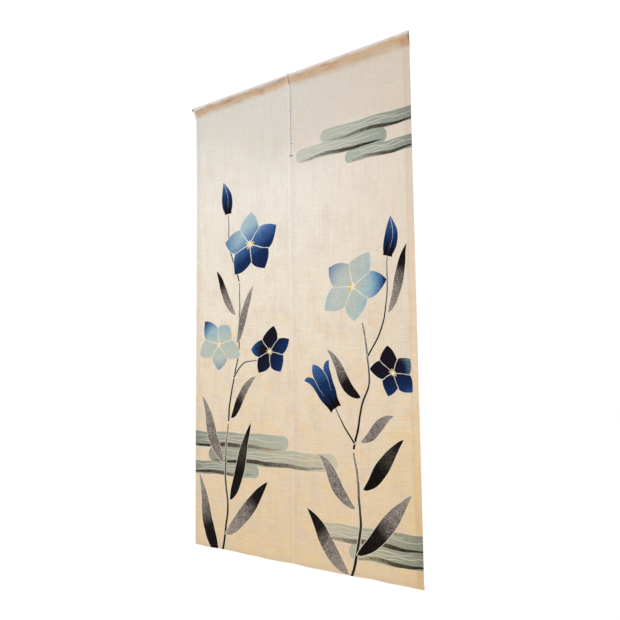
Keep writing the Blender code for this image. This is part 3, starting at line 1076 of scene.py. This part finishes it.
class Value:
    """A number that a material's nodes work out. Sums and products with it are nodes too."""

    __add__, __mul__ = operation("ADD"), operation("MULTIPLY")
    __sub__, __rsub__ = operation("SUBTRACT"), operation("SUBTRACT", swapped=True)
    __abs__, sine = operation("ABSOLUTE"), operation("SINE")
    at_least, clamped = operation("MAXIMUM"), operation("ADD", use_clamp=True)

    def __init__(self, graph, socket):
        self.graph, self.socket = graph, socket

    def step(self, low, high):
        """0 before low, 1 past high, eased between. Low may be the larger."""
        node = self.graph.add("MapRange", {0: self, 1: low, 2: high}, interpolation_type="SMOOTHSTEP")
        return Value(self.graph, node.outputs[0])


class Graph:
    """A material's nodes, made with short calls."""

    def __init__(self, name):
        self.material = bpy.data.materials.new(name)
        self.material.use_nodes = True
        self.tree = self.material.node_tree
        self.surface = self.tree.nodes["Principled BSDF"]

    def add(self, kind, inputs=None, **settings):
        node = self.tree.nodes.new(f"ShaderNode{kind}")
        for key, value in settings.items():
            setattr(node, key, value)
        self.feed(node, inputs or {})
        return node

    def feed(self, node, inputs):
        for key, value in inputs.items():
            value = value.socket if isinstance(value, Value) else value
            if isinstance(value, bpy.types.NodeSocket):
                self.tree.links.new(value, node.inputs[key])
            else:
                node.inputs[key].default_value = value

    def scale(self, vector, factors):
        return self.add("VectorMath", {0: vector, 1: factors}, operation="MULTIPLY").outputs[0]

    def noise(self, vector, scale, detail=2.0, rough=0.5):
        inputs = {"Vector": self.scale(vector, scale), "Scale": 1.0, "Detail": detail, "Roughness": rough}
        return Value(self, self.add("TexNoise", inputs).outputs["Fac"])

    def grey(self, value):
        return self.add("CombineColor", {0: value, 1: value, 2: value}).outputs[0]

    def mix(self, share, first, second, blend="MIX"):
        node = self.add("Mix", {0: share}, data_type="RGBA", blend_type=blend)
        colors = [k for k, socket in enumerate(node.inputs) if socket.type == "RGBA"]
        for k, value in zip(colors, (first, second)):
            self.feed(node, {k: value if isinstance(value, bpy.types.NodeSocket) else (*value, 1.0)})
        return next(socket for socket in node.outputs if socket.type == "RGBA")

    def tinted(self, ground, share, color):
        return self.mix(share, ground, shade(color))

    def toned(self, ground, share, factors):
        return self.mix(share, ground, self.scale(ground, factors))

    def bump(self, height, distance, strength):
        node = self.add("Bump", {"Height": height, "Distance": distance, "Strength": strength})
        self.feed(self.surface, {"Normal": node.outputs[0]})
        return node.outputs[0]


WEAVE_PITCH = 0.00095
WEAVE_WANDER = 9.0
WEAVE_RELIEF, TWIST_RELIEF, WOOD_RELIEF = 0.00016, 0.00008, 0.00012
LIGHT_LEVEL = 1.03

# Undyed cloth from the heading to the bottom edge, as the eye sees it: depth and colour
GROUND = (
    (0.10, (0.882, 0.874, 0.846)),
    (0.19, (0.896, 0.880, 0.850)),
    (0.35, (0.955, 0.936, 0.904)),
    (0.70, (0.954, 0.925, 0.868)),
    (1.05, (0.938, 0.882, 0.795)),
    (1.45, (0.915, 0.832, 0.692)),
)


def shade(color):
    return tuple(linear(color) / LIGHT_LEVEL)


def weave(g, cloth, x, b):
    """Height and openness of a plain weave whose threads wander a little."""
    drift = g.noise(cloth, (7, 7, 3), 2)
    warp = (x * (pi / WEAVE_PITCH) + drift * WEAVE_WANDER).sine()
    weft = (b * (pi / WEAVE_PITCH) + drift * -WEAVE_WANDER).sine()
    return warp * weft, abs(warp) * abs(weft)


def undyed(g, cloth, x, b):
    """Ground colour: greyish at the top, creamy in the middle, warm and uneven below."""
    early = x.step(0.36, 0.06) * b.step(0.34, 0.16)
    wander = b + (g.noise(cloth, (5, 3, 1), 3) * 0.16 + (early * 0.09 - 0.08))
    first, last = GROUND[0][0], GROUND[-1][0]
    ramp = g.add("ValToRGB", {0: (wander - first) * (1 / (last - first))})
    stops = ramp.color_ramp.elements
    while len(stops) < len(GROUND):
        stops.new(0.5)
    for stop, (depth, color) in zip(stops, GROUND):
        stop.position = (depth - first) / (last - first)
        stop.color = (*shade(color), 1.0)
    ground = ramp.outputs["Color"]

    # Uneven patches and streaks: scale, detail and roughness of the noise, its levels, strength and colour
    lower = b.step(0.15, 1.20)
    patches = (
        ((18, 13, 4), 4, 0.65, (0.46, 0.66), lower * 0.26 + 0.16, (0.880, 0.815, 0.755)),
        ((14, 24, 12), 4, 0.65, (0.48, 0.66), b.step(0.45, 1.25) * 0.45 + 0.05, (0.965, 0.840, 0.610)),
        ((17, 190, 3), 4, 0.65, (0.46, 0.70), lower * 0.24 + 0.07, (0.905, 0.765, 0.585)),
        ((14, 230, 8), 4, 0.60, (0.50, 0.72), 0.30, (0.970, 0.940, 0.895)),
        ((170, 7, 5), 3, 0.60, (0.46, 0.70), 0.24, (0.850, 0.775, 0.685)),
    )
    for scale, detail, rough, levels, strength, color in patches:
        share = g.noise(cloth, scale, detail, rough).step(*levels) * strength
        ground = g.tinted(ground, share, color)
    rosy = x.step(0.439, 0.446) * b.step(0.45, 0.20)
    ground = g.tinted(ground, rosy * 0.20, (0.887, 0.822, 0.768))
    warm = x.step(0.42, 0.95) * b.step(1.35, 0.55)
    return g.tinted(ground, warm * 0.38, (0.879, 0.788, 0.690))


PaintedBand = namedtuple("PaintedBand", "strength color starts full gone fades")


def painted_heading_light_and_shade(g, cloth, x, b, ground):
    """A pale painted highlight over the rod, then grey-brown and ochre painted shade that runs out down the
    heading.
    """
    level = b + (g.noise(cloth, (20, 5, 7), 4, 0.6) - 0.5) * 0.020
    wide = x.step(0.006, 0.016)
    left = x.step(0.500, 0.380)
    dull = g.noise(cloth, (9, 6, 2), 3, 0.5).step(0.36, 0.64) * (left * 0.41 + 0.14)
    dull = x.step(0.130, 0.020) * 0.35 + (left * 0.08 + dull)
    brown = g.noise(cloth, (13, 80, 1), 4, 0.6).step(0.50, 0.66) * (left * 0.30 + 0.45)
    ochre = g.noise(cloth, (11, 45, 6), 4, 0.6).step(0.46, 0.66) * 0.66
    right = x.step(0.420, 0.640) * 0.42
    corner = x.step(0.842, 0.862) * 0.55
    # Painted bands with their strength, colour and the depths where each starts, is full, is gone and fades:
    # a painted highlight on the crown over the rod, painted shade in ochre, grey-brown and brown below the
    # rod and at the pocket's right end, and painted light along the pocket's foot
    for painted_band in (
        PaintedBand(0.60, (0.955, 0.912, 0.890), -0.022, -0.009, 0.012, 0.005),
        PaintedBand(0.82, (0.872, 0.745, 0.600), 0.006, 0.014, 0.041, 0.022),
        PaintedBand(right, (0.850, 0.740, 0.610), 0.022, 0.034, 0.055, 0.034),
        PaintedBand(dull, (0.760, 0.670, 0.605), 0.005, 0.010, 0.024, 0.013),
        PaintedBand(brown, (0.660, 0.500, 0.390), 0.007, 0.011, 0.026, 0.015),
        PaintedBand(ochre, (0.830, 0.650, 0.415), 0.012, 0.020, 0.040, 0.026),
        PaintedBand(left * 0.30 + 0.06, (0.965, 0.920, 0.870), 0.028, 0.036, 0.050, 0.042),
        PaintedBand(corner, (0.815, 0.585, 0.395), 0.013, 0.022, 0.050, 0.032),
    ):
        share = level.step(painted_band.starts, painted_band.full) * level.step(painted_band.gone, painted_band.fades)
        ground = g.tinted(ground, share * wide * painted_band.strength, painted_band.color)
    return ground


def outer_hems(g, x, b, ground):
    """The right and bottom hems are painted warmer, as painted shade of their double layer, the right one
    with a painted shadow line along its fold's edge.
    """
    right_hem = x.step(0.8605, 0.8625)
    bottom_hem = b.step(DROP - 0.0125, DROP - 0.0110)
    fold_shadow_line = x.step(0.8540, 0.8590) * x.step(0.8650, 0.8610)
    # Painted shade: the double layer of the right and bottom hems painted warmer
    ground = g.tinted(ground, right_hem.at_least(bottom_hem) * 0.15, (0.930, 0.820, 0.670))
    # Painted shadow on the right hem's fold line, then the right hem lighter from 0.3 m down, the lower right
    # corner yellower and the right hem darker near the bottom
    for share, factors in (
        (fold_shadow_line * 0.35, (0.890, 0.880, 0.870)),
        (right_hem * b.step(0.30, 0.75), (1.095, 1.050, 0.995)),
        (x.step(0.70, 0.86) * b.step(0.85, 1.20), (0.990, 0.965, 0.870)),
        (right_hem * b.step(1.05, 1.50), (0.890, 0.870, 0.860)),
    ):
        ground = g.toned(ground, share, factors)
    return ground


def inner_hems(g, x, b, ground):
    """The hems along the middle, and faintly the one at the left edge, are painted paler: painted light on
    their double layer. The cloth is darker along the sewing.
    """
    left_panel = x.step(PANEL_WIDTH + 0.0005, PANEL_WIDTH - 0.0005)
    middle = abs(x - PANEL_WIDTH).step(0.0145, 0.0130) * (left_panel * 0.60 + 0.40)
    # Painted light: the hems' double layer painted paler
    pale = middle.at_least(x.step(0.0195, 0.0175) * 0.15)
    ground = g.toned(ground, pale, (1.095, 1.090, 1.115))
    # The cloth darker along the middle seam's sewing, from the heading down to its bar
    seam_darkening = abs(x - (PANEL_WIDTH + SEAM_LINE)).step(0.0018, 0.0004)
    seam_darkening = seam_darkening * (b.step(0.032, 0.038) * b.step(0.264, 0.235))
    return g.tinted(ground, seam_darkening * 0.26, (0.560, 0.450, 0.370))


def dyed(g, cloth, ground):
    """The dye on the ground, uneven from thread to thread, most of all where it is dark or thin."""
    dye = g.add("Attribute", attribute_name="dye")
    color, alpha = dye.outputs["Color"], Value(g, dye.outputs["Alpha"])
    grain = Value(g, g.add("Attribute", attribute_name="grain").outputs["Fac"])
    speck = g.noise(cloth, (180, 190, 8), 4, 0.75) - 0.5
    uneven = g.noise(cloth, (50, 50, 6), 3, 0.6) - 0.5
    rough = speck * 3.4 + uneven * 1.2
    strength = rough * (1.035 - alpha) * grain + alpha
    strength = (strength * alpha.step(0.0, 0.08)).clamped()
    deep = Value(g, g.add("RGBToBW", {0: color}).outputs[0]).step(0.36, 0.10)
    mottle = (rough * grain * (deep * 1.9 + 0.6) + 1.0).at_least(0.2)
    return g.mix(strength, ground, g.mix(1.0, color, g.grey(mottle), "MULTIPLY"))


def cloth_material():
    """Plain-woven cloth with its uneven tone, the painted light and shade of its heading and hems, its dye
    and the shadow between its threads.
    """
    g = Graph("woven_cloth")
    cloth = g.add("Attribute", attribute_name="cloth").outputs["Vector"]
    split = g.add("SeparateXYZ", {0: cloth})
    x, b = Value(g, split.outputs[0]), Value(g, split.outputs[1])
    ground = outer_hems(g, x, b, undyed(g, cloth, x, b))
    ground = inner_hems(g, x, b, painted_heading_light_and_shade(g, cloth, x, b, ground))
    color = dyed(g, cloth, ground)

    over, gaps = weave(g, cloth, x, b)
    weft_thread = g.noise(cloth, (14, 900, 5), 2, 0.6)
    warp_thread = g.noise(cloth, (900, 10, 5), 2, 0.6)
    slub = g.noise(cloth, (10, 480, 9), 3, 0.55).step(0.56, 0.74)
    tone = (gaps * 0.10 + 0.93) * (warp_thread * 0.12 + 0.94) * (weft_thread * 0.18 + 0.91)
    tone = tone * (g.noise(cloth, (60, 150, 2), 3, 0.6) * 0.16 + 0.92)
    color = g.mix(1.0, color, g.grey(tone), "MULTIPLY")
    g.feed(g.surface, {
        "Base Color": color, "Roughness": weft_thread * 0.16 + 0.80, "Specular IOR Level": 0.08,
        "Sheen Weight": 0.02, "Sheen Roughness": 0.6,
    })
    height = over * 0.35 + gaps * 0.5 + slub * 0.6 + g.noise(cloth, (45, 30, 1), 3) * 1.6
    normal = g.bump(height, WEAVE_RELIEF, 0.8)
    through = g.add("BsdfTranslucent", {"Color": color, "Normal": normal})
    both = g.add("MixShader", {0: 0.30, 1: g.surface.outputs[0], 2: through.outputs[0]})
    g.feed(g.tree.nodes["Material Output"], {"Surface": both.outputs[0]})
    return g.material


def thread_material(name, color, deep):
    """Twisted sewing thread."""
    g = Graph(name)
    place = g.add("TexCoord").outputs["Object"]
    twist = g.noise(place, (2600, 2600, 2600), 2)
    tint = g.mix(twist.step(0.35, 0.65), shade(deep), shade(color))
    tint = g.tinted(tint, g.noise(place, (60, 60, 60), 2) * 0.35, deep)
    g.feed(g.surface, {"Base Color": tint, "Roughness": twist * 0.2 + 0.55, "Sheen Weight": 0.15})
    g.bump(twist, TWIST_RELIEF, 0.6)
    return g.material


# The rod's wood: its dark and its pale grain, its wear and its pores
WOOD_DARK, WOOD_PALE = (0.070, 0.050, 0.042), (0.150, 0.108, 0.084)
WOOD_WORN, WOOD_PORE = (0.105, 0.082, 0.068), (0.040, 0.030, 0.026)


def rod_material():
    """Dark stained wood with its grain along the rod and paler wear."""
    g = Graph("dark_wood")
    place = g.add("TexCoord").outputs["Object"]
    figure = g.noise(place, (420, 420, 14), 5, 0.6)
    pores = g.noise(place, (1900, 1900, 60), 2).step(0.56, 0.66)
    color = g.mix(figure.step(0.30, 0.72), linear(WOOD_DARK), linear(WOOD_PALE))
    color = g.mix(g.noise(place, (60, 60, 3), 3) * 0.4, color, linear(WOOD_WORN))
    color = g.mix(pores * 0.7, color, linear(WOOD_PORE))
    g.feed(g.surface, {
        "Base Color": color, "Roughness": figure * 0.25 + 0.36, "Specular IOR Level": 0.30,
        "Coat Weight": 0.06, "Coat Roughness": 0.35,
    })
    g.bump(pores * -0.8 + figure, WOOD_RELIEF, 0.7)
    return g.material


def floor_material():
    """Pale matt floor, not quite even."""
    g = Graph("pale_floor")
    place = g.add("TexCoord").outputs["Object"]
    tint = g.mix(g.noise(place, (3, 3, 3), 3), (0.955, 0.955, 0.950), (0.975, 0.975, 0.975))
    g.feed(g.surface, {"Base Color": tint, "Roughness": 0.9})
    return g.material


def wear(item, material):
    item.data.materials.clear()
    item.data.materials.append(material)


# Camera: where the photo was taken from, and its focal length in pixels of a 620 by 620 picture
CAMERA_PLACE = (1.432684, -1.660870, -0.943918)
CAMERA_TURN = 0.685497
CAMERA_PITCH = 0.092961
CAMERA_ROLL = -0.013427
FOCAL_PIXELS = 722.089
IMAGE_PIXELS = 620
SENSOR = 36.0
NEAREST = 0.05


def add_camera():
    data = bpy.data.cameras.new("camera")
    data.sensor_fit = "HORIZONTAL"
    data.sensor_width = SENSOR
    data.lens = FOCAL_PIXELS / IMAGE_PIXELS * SENSOR
    data.clip_start = NEAREST
    camera = placed(bpy.data.objects.new("camera", data))
    aim = Matrix.Rotation(CAMERA_TURN, 4, "Z") @ Matrix.Rotation(pi / 2 + CAMERA_PITCH, 4, "X")
    camera.matrix_world = Matrix.Translation(CAMERA_PLACE) @ aim @ Matrix.Rotation(CAMERA_ROLL, 4, "Z")
    bpy.context.scene.camera = camera


FLOOR_LEVEL = -2.0
FLOOR_HALF = 30.0
FLOOR_CORNERS = ((-1, -1), (1, -1), (1, 1), (-1, 1))
SKY_LEVEL = 1.05
LIT_PLACE = (0.0, 0.0, -0.7)
Lamp = namedtuple("Lamp", "name place size power")
LAMPS = (Lamp("key", (-1.2, -3.2, 1.8), 2.4, 26.0), Lamp("fill", (3.2, -2.4, 0.2), 2.0, 8.0))


def add_floor():
    mesh = bpy.data.meshes.new("floor")
    corners = [(x * FLOOR_HALF, y * FLOOR_HALF, FLOOR_LEVEL) for x, y in FLOOR_CORNERS]
    mesh.from_pydata(corners, [], [(0, 1, 2, 3)])
    floor = add_piece(mesh)
    wear(floor, floor_material())


def add_light():
    world = bpy.data.worlds.new("studio")
    bpy.context.scene.world = world
    world.use_nodes = True
    background = world.node_tree.nodes["Background"]
    background.inputs[0].default_value = (1.0, 1.0, 1.0, 1.0)
    background.inputs[1].default_value = SKY_LEVEL
    for lamp in LAMPS:
        light = bpy.data.lights.new(lamp.name, "AREA")
        light.size = lamp.size
        light.energy = lamp.power
        item = placed(bpy.data.objects.new(lamp.name, light))
        item.location = lamp.place
        item.rotation_euler = (Vector(LIT_PLACE) - Vector(lamp.place)).to_track_quat("-Z", "Y").to_euler()
    bpy.context.scene.view_settings.view_transform = "Standard"


def finished(piece, material):
    """The piece in its material, on the curtain's one body."""
    wear(piece, material)
    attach(piece, "root")
    return piece


def main():
    cloth = cloth_material()
    pale_thread = thread_material("pale_thread", (0.90, 0.86, 0.78), (0.74, 0.67, 0.56))
    dark_thread = thread_material("dark_thread", (0.25, 0.18, 0.15), (0.11, 0.08, 0.07))
    seam = finished(seam_thread(), dark_thread)
    for side in (LEFT, RIGHT):
        panel = finished(cloth_panel(side), cloth)
        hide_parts(f"panel_{SIDE_NAMES[side]}")
        stitches = finished(hem_stitches(side), pale_thread)
    rod = next(item for item in bpy.data.objects if item.type == "MESH" and item.name.split(".")[0] == "rod")
    wear(rod, rod_material())
    add_floor()
    add_light()
    add_camera()


main()
